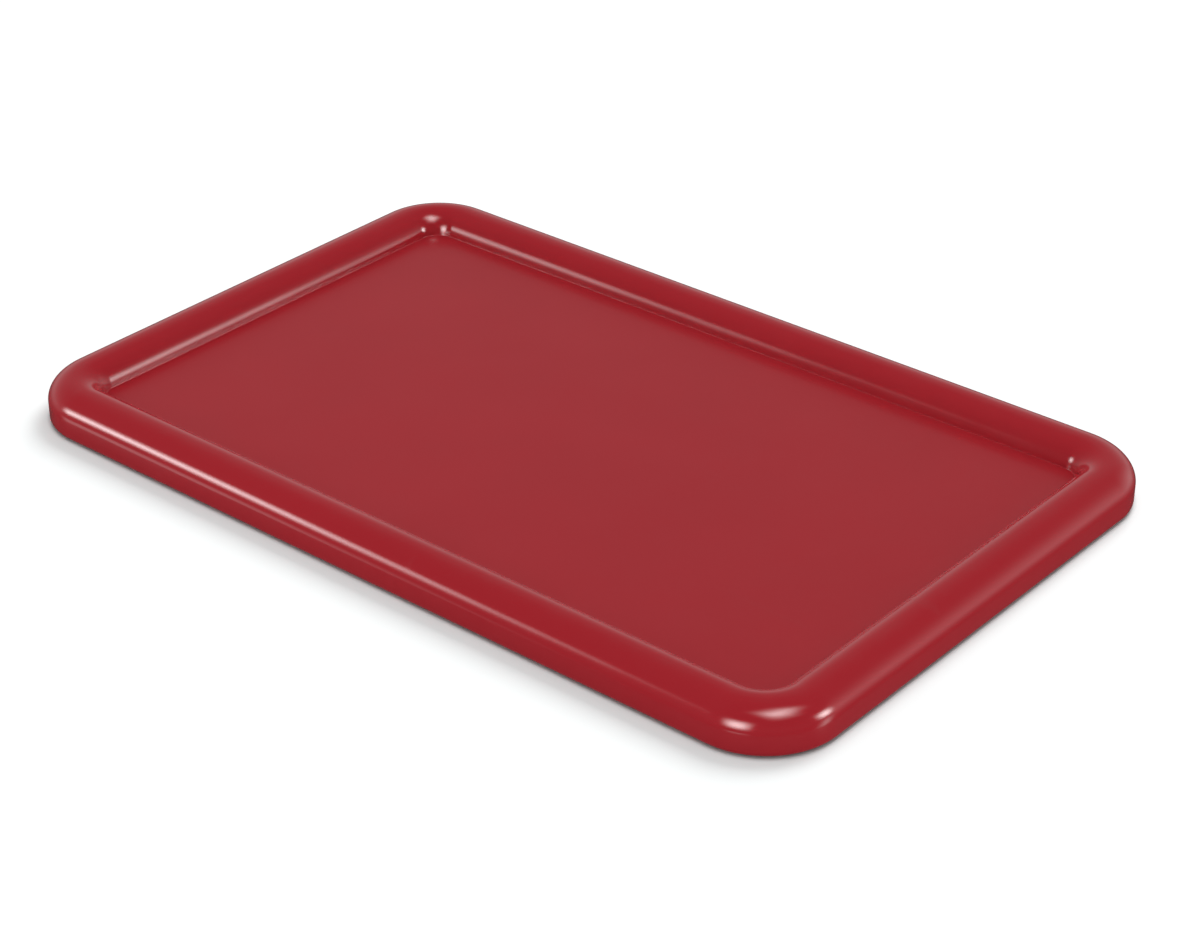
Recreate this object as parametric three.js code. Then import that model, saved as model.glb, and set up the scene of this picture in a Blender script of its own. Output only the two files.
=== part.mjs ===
// Lid of a classroom storage tray: one plastic moulding with a rolled rim and a recessed panel.
// Millimetres, +Z up, +X along the lid. The origin is the middle of the plane that the lid stands on.

import * as THREE from 'three';
import { mergeVertices } from 'three/addons/utils/BufferGeometryUtils.js';

// Outline
const LENGTH = 356;
const WIDTH = 228.4;
const HEIGHT = 16.2;
const CORNER_RADIUS = 29.2;

// Rim section: a rolled rim, rounded on both sides of a narrow flat crest
const OUTER_ROLL = { across: 10.2, high: 8.3 };
const INNER_ROLL = { across: 10.4, high: 9.5 };
const CREST_FLAT = 0.5;
const RECESS_DEPTH = 8.7;
const FOOT_ROUNDING = 2.1;
const PANEL_FILLET = 0.4;

// Moulding
const WALL = 2.6;
const RED = 0xa3222a;

// How finely the round stretches are cut
const CORNER_STEPS = 8;
const SECTION_STEPS = 5;

const QUARTER = Math.PI / 2;
const PANEL_TOP = HEIGHT - RECESS_DEPTH;
const PANEL_UNDERSIDE = PANEL_TOP - WALL;

// The height on a roll, as the angle from its centre: 0 is level with the centre, a quarter turn is the crest.
function angleAtHeight(z, centreZ, high) {
  return Math.asin((z - centreZ) / high);
}

// Half section of the lid, from the underside of the panel round the rim to the panel's top.
// Its x is the distance in from the lid's outer edge, and its y is the height.
function rimSection() {
  const outerX = OUTER_ROLL.across;
  const outerZ = HEIGHT - OUTER_ROLL.high;
  const innerX = OUTER_ROLL.across + CREST_FLAT;
  const innerZ = HEIGHT - INNER_ROLL.high;

  const section = new THREE.Path();

  // Inside of the channel: up the inner wall from the panel's underside, over, and down the skirt
  section.moveTo(innerX + INNER_ROLL.across - WALL, PANEL_UNDERSIDE);
  section.lineTo(innerX + INNER_ROLL.across - WALL, innerZ);
  section.absellipse(innerX, innerZ, INNER_ROLL.across - WALL, INNER_ROLL.high - WALL, 0, QUARTER, false);
  section.absellipse(outerX, outerZ, OUTER_ROLL.across - WALL, OUTER_ROLL.high - WALL, QUARTER, 2 * QUARTER, false);
  section.lineTo(WALL, 0);

  // Foot of the skirt, then the outside: up the skirt and over the crest
  section.lineTo(FOOT_ROUNDING, 0);
  section.absarc(FOOT_ROUNDING, FOOT_ROUNDING, FOOT_ROUNDING, -QUARTER, -2 * QUARTER, true);
  section.absellipse(outerX, outerZ, OUTER_ROLL.across, OUTER_ROLL.high, 2 * QUARTER, QUARTER, true);

  // Down into the recess, with a small fillet where the wall meets the panel
  const filletTop = angleAtHeight(PANEL_TOP + PANEL_FILLET, innerZ, INNER_ROLL.high);
  section.absellipse(innerX, innerZ, INNER_ROLL.across, INNER_ROLL.high, QUARTER, filletTop, true);
  const wallX = innerX + INNER_ROLL.across * Math.cos(angleAtHeight(PANEL_TOP, innerZ, INNER_ROLL.high));
  section.quadraticCurveTo(wallX, PANEL_TOP, wallX + PANEL_FILLET, PANEL_TOP);

  return section.getPoints(SECTION_STEPS);
}

// Rounded rectangle, drawn in from the lid's outer edge by inset, at height z, anticlockwise from above.
function outlineRing(inset, z) {
  const radius = CORNER_RADIUS - inset;
  const centreX = LENGTH / 2 - CORNER_RADIUS;
  const centreY = WIDTH / 2 - CORNER_RADIUS;
  const signs = [[1, 1], [-1, 1], [-1, -1], [1, -1]];
  return signs.flatMap(([signX, signY], corner) => {
    const points = [];
    for (let step = 0; step <= CORNER_STEPS; step += 1) {
      const angle = QUARTER * (corner + step / CORNER_STEPS);
      const x = signX * centreX + radius * Math.cos(angle);
      const y = signY * centreY + radius * Math.sin(angle);
      points.push(new THREE.Vector3(x, y, z));
    }
    return points;
  });
}

// Skin between two rings with the same number of points.
function bandBetween(lower, upper) {
  return lower.flatMap((point, i) => {
    const next = (i + 1) % lower.length;
    return [point, lower[next], upper[next], point, upper[next], upper[i]];
  });
}

// Flat face inside a ring, facing up or down.
function panelFace(ring, facesUp) {
  const middle = new THREE.Vector3(0, 0, ring[0].z);
  return ring.flatMap((point, i) => {
    const next = ring[(i + 1) % ring.length];
    return facesUp ? [middle, point, next] : [middle, next, point];
  });
}

function lidGeometry() {
  const rings = rimSection().map(({ x, y }) => outlineRing(x, y));
  const corners = panelFace(rings[0], false);
  for (let i = 1; i < rings.length; i += 1) {
    corners.push(...bandBetween(rings[i - 1], rings[i]));
  }
  corners.push(...panelFace(rings[rings.length - 1], true));
  const geometry = mergeVertices(new THREE.BufferGeometry().setFromPoints(corners));
  geometry.computeVertexNormals();
  return geometry;
}

function glossyRedPlastic() {
  return new THREE.MeshStandardMaterial({ color: RED, roughness: 0.25, metalness: 0 });
}

const lid = new THREE.Mesh(lidGeometry(), glossyRedPlastic());
lid.name = 'lid';

const part = new THREE.Group();
part.add(lid);

export default part;
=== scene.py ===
"""The looks of a glossy red tray lid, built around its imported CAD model. Metres, +Z up."""
import math

import bmesh
import bpy
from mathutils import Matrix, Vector


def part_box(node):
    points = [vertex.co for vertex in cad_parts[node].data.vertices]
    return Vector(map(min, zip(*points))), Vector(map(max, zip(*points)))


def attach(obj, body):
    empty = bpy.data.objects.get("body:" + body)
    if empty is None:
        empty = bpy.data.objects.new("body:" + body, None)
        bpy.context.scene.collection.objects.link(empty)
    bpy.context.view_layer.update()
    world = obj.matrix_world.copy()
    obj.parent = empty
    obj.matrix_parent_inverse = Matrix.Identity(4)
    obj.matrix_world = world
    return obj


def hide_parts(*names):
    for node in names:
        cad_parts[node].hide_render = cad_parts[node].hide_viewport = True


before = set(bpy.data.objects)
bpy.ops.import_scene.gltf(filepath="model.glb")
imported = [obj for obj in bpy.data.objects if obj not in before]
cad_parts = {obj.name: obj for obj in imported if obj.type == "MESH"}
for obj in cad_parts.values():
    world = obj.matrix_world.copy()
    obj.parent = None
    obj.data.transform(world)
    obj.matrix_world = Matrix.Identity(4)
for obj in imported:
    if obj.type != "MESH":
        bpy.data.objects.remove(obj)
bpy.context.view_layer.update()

MM = 0.001
QUARTER = math.pi / 2

# The lid's outline comes from its CAD part: its far top corner, as the origin is under its middle
HALF_LENGTH, HALF_WIDTH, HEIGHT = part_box("lid")[1]

# Rim section, as the CAD model has it
CORNER_RADIUS = 29.2 * MM
OUTER_ROLL = (10.2 * MM, 8.3 * MM)
INNER_ROLL = (10.4 * MM, 9.5 * MM)
CREST_FLAT = 0.5 * MM
RECESS_DEPTH = 8.7 * MM
FOOT_ROUNDING = 2.1 * MM
PANEL_FILLET = 0.4 * MM
WALL = 2.6 * MM
PANEL_TOP = HEIGHT - RECESS_DEPTH
PANEL_UNDERSIDE = PANEL_TOP - WALL

# How finely the surface is cut
CORNER_STEPS = 32
ROLL_STEPS = 48
FILLET_STEPS = 6
PANEL_RINGS = 14

# Mark left by the mould's gate, in the middle of the underside
GATE_WELL_RADIUS = 5.0 * MM
GATE_WELL_DEPTH = 0.5 * MM
GATE_NUB_RADIUS = 1.3 * MM
GATE_MARGIN = 1.5 * MM


# ---------------------------------------------------------------- camera

CAMERA_AZIMUTH = math.radians(40)
CAMERA_ELEVATION = math.radians(30)
LENS = 85.0
SENSOR = 36.0
# Measured in lengths of the lid
CAMERA_PLACE = Vector((1.64121, -1.92098, 1.44574)) * (2 * HALF_LENGTH)


def make_camera():
    data = bpy.data.cameras.new("camera")
    data.lens = LENS
    data.sensor_width = SENSOR
    data.sensor_fit = "HORIZONTAL"
    data.clip_start = 0.01
    camera = bpy.data.objects.new("camera", data)
    camera.location = CAMERA_PLACE
    camera.rotation_euler = (QUARTER - CAMERA_ELEVATION, 0, CAMERA_AZIMUTH)
    bpy.context.scene.collection.objects.link(camera)
    bpy.context.scene.camera = camera


# ---------------------------------------------------------------- the lid's shape

def arc(centre, radii, start, end, steps):
    """Points on an ellipse, from angle start to angle end."""
    points = []
    for i in range(steps + 1):
        angle = start + (end - start) * i / steps
        points.append((centre[0] + radii[0] * math.cos(angle), centre[1] + radii[1] * math.sin(angle)))
    return points


def rim_section():
    """Points (distance in from the outer edge, height), from under the panel round the rim to its top."""
    outer = (OUTER_ROLL[0], HEIGHT - OUTER_ROLL[1])
    inner = (OUTER_ROLL[0] + CREST_FLAT, HEIGHT - INNER_ROLL[1])
    outer_inside = (OUTER_ROLL[0] - WALL, OUTER_ROLL[1] - WALL)
    inner_inside = (INNER_ROLL[0] - WALL, INNER_ROLL[1] - WALL)

    points = [(inner[0] + inner_inside[0], PANEL_UNDERSIDE)]
    points += arc(inner, inner_inside, 0, QUARTER, ROLL_STEPS)
    points += arc(outer, outer_inside, QUARTER, 2 * QUARTER, ROLL_STEPS)
    points += [(WALL, 0.0), (FOOT_ROUNDING, 0.0)]
    foot = (FOOT_ROUNDING, FOOT_ROUNDING)
    points += arc(foot, foot, -QUARTER, -2 * QUARTER, FILLET_STEPS)[1:]
    points += arc(outer, OUTER_ROLL, 2 * QUARTER, QUARTER, ROLL_STEPS)

    fillet_top = math.asin((PANEL_TOP + PANEL_FILLET - inner[1]) / INNER_ROLL[1])
    points += arc(inner, INNER_ROLL, QUARTER, fillet_top, ROLL_STEPS)
    wall_foot = inner[0] + INNER_ROLL[0] * math.cos(math.asin((PANEL_TOP - inner[1]) / INNER_ROLL[1]))
    start, bend, end = points[-1], (wall_foot, PANEL_TOP), (wall_foot + PANEL_FILLET, PANEL_TOP)
    for i in range(1, FILLET_STEPS + 1):
        t = i / FILLET_STEPS
        weights = ((1 - t) ** 2, 2 * t * (1 - t), t ** 2)
        corners = (start, bend, end)
        points.append(tuple(sum(w * p[k] for w, p in zip(weights, corners)) for k in (0, 1)))
    return points


def outline(inset, z):
    """Rounded rectangle drawn in from the outer edge by inset."""
    radius = CORNER_RADIUS - inset
    centre_x = HALF_LENGTH - CORNER_RADIUS
    centre_y = HALF_WIDTH - CORNER_RADIUS
    points = []
    for corner, (sign_x, sign_y) in enumerate(((1, 1), (-1, 1), (-1, -1), (1, -1))):
        for i in range(CORNER_STEPS + 1):
            angle = QUARTER * (corner + i / CORNER_STEPS)
            x = sign_x * centre_x + radius * math.cos(angle)
            y = sign_y * centre_y + radius * math.sin(angle)
            points.append(Vector((x, y, z)))
    return points


def circle_like(ring, radius, z):
    """A circle whose points stand at the same angles as the ring's corner steps."""
    count = len(ring)
    points = []
    for i in range(count):
        corner, step = divmod(i, CORNER_STEPS + 1)
        angle = QUARTER * (corner + (step + 0.5) / (CORNER_STEPS + 1))
        points.append(Vector((radius * math.cos(angle), radius * math.sin(angle), z)))
    return points


def between(ring_a, ring_b, share):
    return [a.lerp(b, share) for a, b in zip(ring_a, ring_b)]


def panel_rings(edge, centre_radius):
    """Rings that turn the panel's outline into a small circle at its middle."""
    centre = circle_like(edge, centre_radius, edge[0].z)
    return [between(edge, centre, i / PANEL_RINGS) for i in range(1, PANEL_RINGS + 1)]


def gate_mark(edge):
    """Rings of the gate mark, from the flat underside into the well and down its nub, with eased edges."""
    roof = PANEL_UNDERSIDE + GATE_WELL_DEPTH
    steps = (
        (GATE_WELL_RADIUS, PANEL_UNDERSIDE),
        (GATE_WELL_RADIUS - 0.3 * MM, PANEL_UNDERSIDE + 0.1 * MM),
        (GATE_WELL_RADIUS - 0.7 * MM, roof),
        (GATE_NUB_RADIUS + 0.3 * MM, roof),
        (GATE_NUB_RADIUS, roof - 0.15 * MM),
        (GATE_NUB_RADIUS - 0.15 * MM, roof - 0.4 * MM),
    )
    return [circle_like(edge, radius, z) for radius, z in steps]


def lid_mesh():
    """One closed skin: underside, rim and top of the panel."""
    section = [outline(inset, z) for inset, z in rim_section()]
    under = panel_rings(section[0], GATE_WELL_RADIUS + GATE_MARGIN) + gate_mark(section[0])
    over = panel_rings(section[-1], GATE_WELL_RADIUS)
    rings = under[::-1] + section + over

    bm = bmesh.new()
    loops = [[bm.verts.new(point) for point in ring] for ring in rings]
    count = len(loops[0])
    for lower, upper in zip(loops, loops[1:]):
        for i in range(count):
            j = (i + 1) % count
            bm.faces.new((lower[i], lower[j], upper[j], upper[i]))
    bm.faces.new(loops[0][::-1])
    bm.faces.new(loops[-1])
    for face in bm.faces:
        face.smooth = True
    mesh = bpy.data.meshes.new("lid_shell")
    bm.to_mesh(mesh)
    bm.free()
    return mesh


# ---------------------------------------------------------------- shader nodes

class Nodes:
    """Short hands for building a shader. A value is a number, a tuple or another node's socket."""

    def __init__(self, tree):
        self.tree = tree

    def link(self, value, socket):
        if isinstance(value, bpy.types.NodeSocket):
            self.tree.links.new(value, socket)
        else:
            socket.default_value = value

    def math(self, operation, *values):
        node = self.tree.nodes.new("ShaderNodeMath")
        node.operation = operation
        for socket, value in zip(node.inputs, values):
            self.link(value, socket)
        return node.outputs["Value"]

    def vector_math(self, operation, *values):
        node = self.tree.nodes.new("ShaderNodeVectorMath")
        node.operation = operation
        for socket, value in zip(node.inputs, values):
            self.link(value, socket)
        return node.outputs["Value" if operation == "DOT_PRODUCT" else "Vector"]

    def ramp(self, value, start, end, low=0.0, high=1.0):
        """A smooth rise from low to high as value goes from start to end."""
        node = self.tree.nodes.new("ShaderNodeMapRange")
        node.interpolation_type = "SMOOTHSTEP"
        self.link(value, node.inputs["Value"])
        self.link(start, node.inputs["From Min"])
        self.link(end, node.inputs["From Max"])
        self.link(low, node.inputs["To Min"])
        self.link(high, node.inputs["To Max"])
        return node.outputs["Result"]


# ---------------------------------------------------------------- plastic

PLASTIC_RED = (0.367, 0.0158, 0.0235, 1)
PLASTIC_RED_DEEP = (0.358, 0.0152, 0.0227, 1)
PLASTIC_IOR = 1.5
RIM_ROUGHNESS = 0.13
PANEL_ROUGHNESS = 0.2

# What the uneven sheen, the scuffs and the rubbed places add to the roughness
MOTTLE = 0.012
SCUFFING = 0.06
RUBBING = 0.05

# Slopes of the moulding's long waves and of its fine peel
WAVE_SLOPE = 0.006
PEEL_SLOPE = 0.004

# A mix node's colour sockets, by number
MIX_COLOUR_A = 6
MIX_COLOUR_B = 7
MIX_COLOUR_RESULT = 2


class PlasticNodes(Nodes):
    """Textures of real size: they run on the lid's own coordinates, in metres."""

    def __init__(self, tree):
        super().__init__(tree)
        self.place = tree.nodes.new("ShaderNodeTexCoord").outputs["Object"]

    def height(self):
        split = self.tree.nodes.new("ShaderNodeSeparateXYZ")
        self.link(self.place, split.inputs["Vector"])
        return split.outputs["Z"]

    def noise_node(self, feature, detail=2.0, stretch=(1, 1, 1), turn=0.0):
        """Noise whose features are about as long as feature."""
        mapping = self.tree.nodes.new("ShaderNodeMapping")
        mapping.inputs["Scale"].default_value = stretch
        mapping.inputs["Rotation"].default_value = (0, 0, turn)
        self.link(self.place, mapping.inputs["Vector"])
        node = self.tree.nodes.new("ShaderNodeTexNoise")
        node.inputs["Scale"].default_value = 1 / feature
        node.inputs["Detail"].default_value = detail
        self.link(mapping.outputs["Vector"], node.inputs["Vector"])
        return node

    def noise(self, feature, **settings):
        return self.noise_node(feature, **settings).outputs["Fac"]

    def mix(self, share, colour_a, colour_b):
        node = self.tree.nodes.new("ShaderNodeMix")
        node.data_type = "RGBA"
        self.link(share, node.inputs["Factor"])
        self.link(colour_a, node.inputs[MIX_COLOUR_A])
        self.link(colour_b, node.inputs[MIX_COLOUR_B])
        return node.outputs[MIX_COLOUR_RESULT]

    def ripple(self, normal, feature, slope, detail=1.0):
        """Tilt a normal at random by about slope, over stretches about as long as feature."""
        node = self.noise_node(feature, detail)
        tilt = self.vector_math("SUBTRACT", node.outputs["Color"], (0.5, 0.5, 0.5))
        tilt = self.vector_math("MULTIPLY", tilt, (2 * slope, 2 * slope, 2 * slope))
        return self.vector_math("NORMALIZE", self.vector_math("ADD", normal, tilt))


def scratches(nodes):
    """Fine scuffs in two directions, as a mask of few and narrow lines."""
    along = nodes.ramp(nodes.noise(6 * MM, detail=3, stretch=(0.06, 1, 1), turn=0.5), 0.66, 0.74)
    across = nodes.ramp(nodes.noise(5 * MM, detail=3, stretch=(1, 0.07, 1), turn=-0.3), 0.68, 0.76)
    return nodes.math("MAXIMUM", along, across)


def red_plastic():
    """Glossy plastic, moulded in colour: softer on the panel, and rubbed on the crest and the foot."""
    material = bpy.data.materials.new("gloss_red_plastic")
    material.use_nodes = True
    tree = material.node_tree
    shader = tree.nodes["Principled BSDF"]
    shader.inputs["IOR"].default_value = PLASTIC_IOR
    nodes = PlasticNodes(tree)

    height = nodes.height()
    on_panel = nodes.ramp(height, PANEL_TOP + 1.5 * MM, PANEL_TOP + 0.2 * MM)
    on_crest = nodes.ramp(height, HEIGHT - 0.6 * MM, HEIGHT)
    on_foot = nodes.ramp(height, 1.2 * MM, 0.0)
    worn = nodes.math("MAXIMUM", on_crest, on_foot)

    drift = nodes.ramp(nodes.noise(45 * MM, detail=3), 0.3, 0.7)
    tree.links.new(nodes.mix(drift, PLASTIC_RED, PLASTIC_RED_DEEP), shader.inputs["Base Color"])

    mottle = nodes.ramp(nodes.noise(14 * MM, detail=4), 0.3, 0.7, -MOTTLE, MOTTLE)
    scuffs = nodes.math("MULTIPLY", scratches(nodes), SCUFFING)
    rub = nodes.math("MULTIPLY", worn, nodes.ramp(nodes.noise(9 * MM, detail=4), 0.4, 0.7, 0, RUBBING))
    roughness = nodes.math("MULTIPLY_ADD", on_panel, PANEL_ROUGHNESS - RIM_ROUGHNESS, RIM_ROUGHNESS)
    for extra in (mottle, scuffs, rub):
        roughness = nodes.math("ADD", roughness, extra)
    tree.links.new(roughness, shader.inputs["Roughness"])

    smooth = tree.nodes.new("ShaderNodeNewGeometry").outputs["Normal"]
    waves = nodes.ripple(smooth, 30 * MM, WAVE_SLOPE)
    peel = nodes.ripple(waves, 1.4 * MM, PEEL_SLOPE, detail=2.0)
    tree.links.new(peel, shader.inputs["Normal"])
    return material


def make_lid():
    lid = bpy.data.objects.new("lid_shell", lid_mesh())
    bpy.context.scene.collection.objects.link(lid)
    lid.data.materials.append(red_plastic())
    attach(lid, "root")
    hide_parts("lid")


# ---------------------------------------------------------------- floor and light

FLOOR_HALF_SIZE = 8
FLOOR_COLOUR = (0.45, 0.463, 0.463, 1)

# The floor's own lights: azimuth, elevation and apparent width (degrees), and radiance
LIGHT_DISTANCE = 4.0
FLOOR_LIGHT = (0, 89, 14, 27)
SHADOW_LIGHT = (34, 47, 30, 9.8)
# An area light's energy in watts is this times its area times its radiance
ENERGY_SHARE = 4

# The white tent that lights the matt colour: its radiance, and how much more of it comes from one side
TENT_WHITE = 1.0
TENT_LEAN = 0.2
LEAN_AZIMUTH = 0

# Softboxes seen in the gloss: azimuth and elevation of the middle, half size and edge softness
# (all in degrees), and radiance
SOFTBOXES = (
    (-147, 18, (11.5, 13.5), (9.0, 12.5), 15),
    (-93, 18, (4.5, 6.5), (10.5, 8.5), 21),
    (103, 17, (8.0, 8.5), (7.0, 8.5), 17),
    (120, 76, (13.0, 5.5), (8.0, 13.0), 8),
    (144, 70, (12.0, 11.5), (9.0, 13.0), 5.5),
    (-147, -23, (10.0, 3.0), (8.0, 3.5), 2.2),
    (-93, -18, (5.0, 7.5), (8.0, 3.5), 1.7),
    (104, -16, (4.5, 12.0), (10.5, 8.5), 3.5),
)

# A weak broad light to the right, seen by the panel too
SIDE_GLOW = (71, 11, (26.0, 17.0), (8.0, 13.5), 0.5)

# Height of the clear sheet over the panel, and the Ray Depth at which the world is seen in one reflection
FLAG_GAP = 0.1 * MM
FIRST_REFLECTION = 2

# Faint glow of the studio by elevation (degrees), and the share of it behind the camera
HORIZON_GLOW = (
    (-60, 0.2), (-30, 0.05), (-18, 0.08), (-8, 0.18), (0, 0.46), (6, 0.58),
    (14, 0.43), (24, 0.25), (34, 0.15), (46, 0.06), (90, 0.02),
)
GLOW_BEHIND = 0.12


def make_floor():
    bm = bmesh.new()
    bmesh.ops.create_grid(bm, x_segments=1, y_segments=1, size=FLOOR_HALF_SIZE)
    mesh = bpy.data.meshes.new("floor")
    bm.to_mesh(mesh)
    bm.free()
    floor = bpy.data.objects.new("floor", mesh)
    bpy.context.scene.collection.objects.link(floor)
    material = bpy.data.materials.new("floor")
    material.use_nodes = True
    shader = material.node_tree.nodes["Principled BSDF"]
    shader.inputs["Base Color"].default_value = FLOOR_COLOUR
    shader.inputs["Roughness"].default_value = 1.0
    shader.inputs["Specular IOR Level"].default_value = 0.0
    mesh.materials.append(material)
    floor.visible_glossy = False
    return floor


def make_flag():
    """A clear sheet over the panel that only reflections meet.

    It marks them, and the world shows no softbox to a marked first reflection. Otherwise the flat panel
    would mirror the softboxes as plain white whenever it is seen from behind.
    """
    sheet = bmesh.new()
    edge = outline(OUTER_ROLL[0] + CREST_FLAT + INNER_ROLL[0], PANEL_TOP + FLAG_GAP)
    sheet.faces.new([sheet.verts.new(point) for point in edge])
    mesh = bpy.data.meshes.new("panel_flag")
    sheet.to_mesh(mesh)
    sheet.free()
    flag = bpy.data.objects.new("panel_flag", mesh)
    bpy.context.scene.collection.objects.link(flag)
    material = bpy.data.materials.new("clear_sheet")
    material.use_nodes = True
    tree = material.node_tree
    clear = tree.nodes.new("ShaderNodeBsdfTransparent")
    tree.links.new(clear.outputs["BSDF"], tree.nodes["Material Output"].inputs["Surface"])
    mesh.materials.append(material)
    flag.visible_camera = False
    flag.visible_diffuse = False
    flag.visible_transmission = False
    flag.visible_volume_scatter = False
    flag.visible_shadow = False


def direction(azimuth, elevation):
    """Unit vector at an azimuth, counted to the right from the camera's line of sight, and an elevation."""
    turn = CAMERA_AZIMUTH - math.radians(azimuth)
    rise = math.radians(elevation)
    return Vector((-math.sin(turn) * math.cos(rise), math.cos(turn) * math.cos(rise), math.sin(rise)))


def area_light(name, azimuth, elevation, spread, radiance, receivers):
    """A square light aimed at the lid, seen in no reflection, that lights the receivers only."""
    data = bpy.data.lights.new(name, "AREA")
    data.shape = "SQUARE"
    data.size = 2 * LIGHT_DISTANCE * math.tan(math.radians(spread) / 2)
    data.energy = ENERGY_SHARE * data.size ** 2 * radiance
    light = bpy.data.objects.new(name, data)
    towards = direction(azimuth, elevation)
    light.location = towards * LIGHT_DISTANCE
    light.rotation_euler = towards.to_track_quat("Z", "Y").to_euler()
    light.visible_camera = False
    light.visible_glossy = False
    light.light_linking.receiver_collection = receivers
    bpy.context.scene.collection.objects.link(light)


def make_light(floor):
    """Two lights for the floor alone: one lifts it to white, the other lays the shadow before the lid."""
    floor_only = bpy.data.collections.new("floor_only")
    floor_only.objects.link(floor)
    area_light("floor_light", *FLOOR_LIGHT, floor_only)
    area_light("shadow_light", *SHADOW_LIGHT, floor_only)


class WorldNodes(Nodes):
    """Lights painted on the world by direction."""

    def __init__(self, tree):
        super().__init__(tree)
        self.outward = tree.nodes.new("ShaderNodeTexCoord").outputs["Generated"]

    def along(self, axis):
        return self.vector_math("DOT_PRODUCT", self.outward, axis)

    def softbox(self, azimuth, elevation, half_size, softness, radiance):
        """A soft-edged rectangle of light, its half size and softness given in degrees."""
        centre = direction(azimuth, elevation)
        across = direction(azimuth + 90, 0)
        light = self.ramp(self.along(centre), 0, 0.01)
        for axis, half, soft in zip((across, across.cross(centre)), half_size, softness):
            reach, edge = math.sin(math.radians(half)), math.sin(math.radians(soft))
            away = self.math("ABSOLUTE", self.along(axis))
            light = self.math("MULTIPLY", light, self.ramp(away, reach + edge, reach - edge))
        return self.math("MULTIPLY", light, radiance)

    def horizon_glow(self, levels, behind):
        """A glow by elevation, which fades to the share behind on the camera's side."""
        ramp = self.tree.nodes.new("ShaderNodeValToRGB")
        height = self.math("MULTIPLY_ADD", self.along((0, 0, 1)), 0.5, 0.5)
        self.tree.links.new(height, ramp.inputs["Fac"])
        while len(ramp.color_ramp.elements) < len(levels):
            ramp.color_ramp.elements.new(0.5)
        for element, (elevation, value) in zip(ramp.color_ramp.elements, levels):
            element.position = 0.5 + 0.5 * math.sin(math.radians(elevation))
            element.color = (value, value, value, 1)
        ahead = self.ramp(self.along(direction(0, 0)), -0.5, 0.5)
        share = self.math("MULTIPLY_ADD", ahead, 1 - behind, behind)
        return self.math("MULTIPLY", ramp.outputs["Color"], share)


def make_world():
    """A white tent for the matt light, and the dark studio with its softboxes for the reflections."""
    world = bpy.data.worlds.new("studio")
    world.use_nodes = True
    tree = world.node_tree
    nodes = WorldNodes(tree)
    ray = tree.nodes.new("ShaderNodeLightPath")
    mirrored = ray.outputs["Is Glossy Ray"]
    boxes = 0.0
    for box in SOFTBOXES:
        boxes = nodes.math("ADD", boxes, nodes.softbox(*box))
    marked = nodes.math("GREATER_THAN", ray.outputs["Transparent Depth"], 0.5)
    first = nodes.math("LESS_THAN", ray.outputs["Ray Depth"], FIRST_REFLECTION + 0.5)
    seen = nodes.math("SUBTRACT", 1.0, nodes.math("MULTIPLY", marked, first))
    studio = nodes.math("MULTIPLY_ADD", boxes, seen, nodes.softbox(*SIDE_GLOW))
    studio = nodes.math("ADD", studio, nodes.horizon_glow(HORIZON_GLOW, GLOW_BEHIND))
    reflections = nodes.math("MULTIPLY", studio, mirrored)
    lean = nodes.math("MULTIPLY_ADD", nodes.along(direction(LEAN_AZIMUTH, 0)), TENT_LEAN, TENT_WHITE)
    tent = nodes.math("MULTIPLY", lean, nodes.math("SUBTRACT", 1.0, mirrored))
    background = tree.nodes["Background"]
    background.inputs["Color"].default_value = (1, 1, 1, 1)
    tree.links.new(nodes.math("ADD", reflections, tent), background.inputs["Strength"])
    world.cycles.sampling_method = "NONE"
    bpy.context.scene.world = world
    bpy.context.scene.view_settings.view_transform = "Standard"


make_camera()
make_lid()
make_light(make_floor())
make_flag()
make_world()
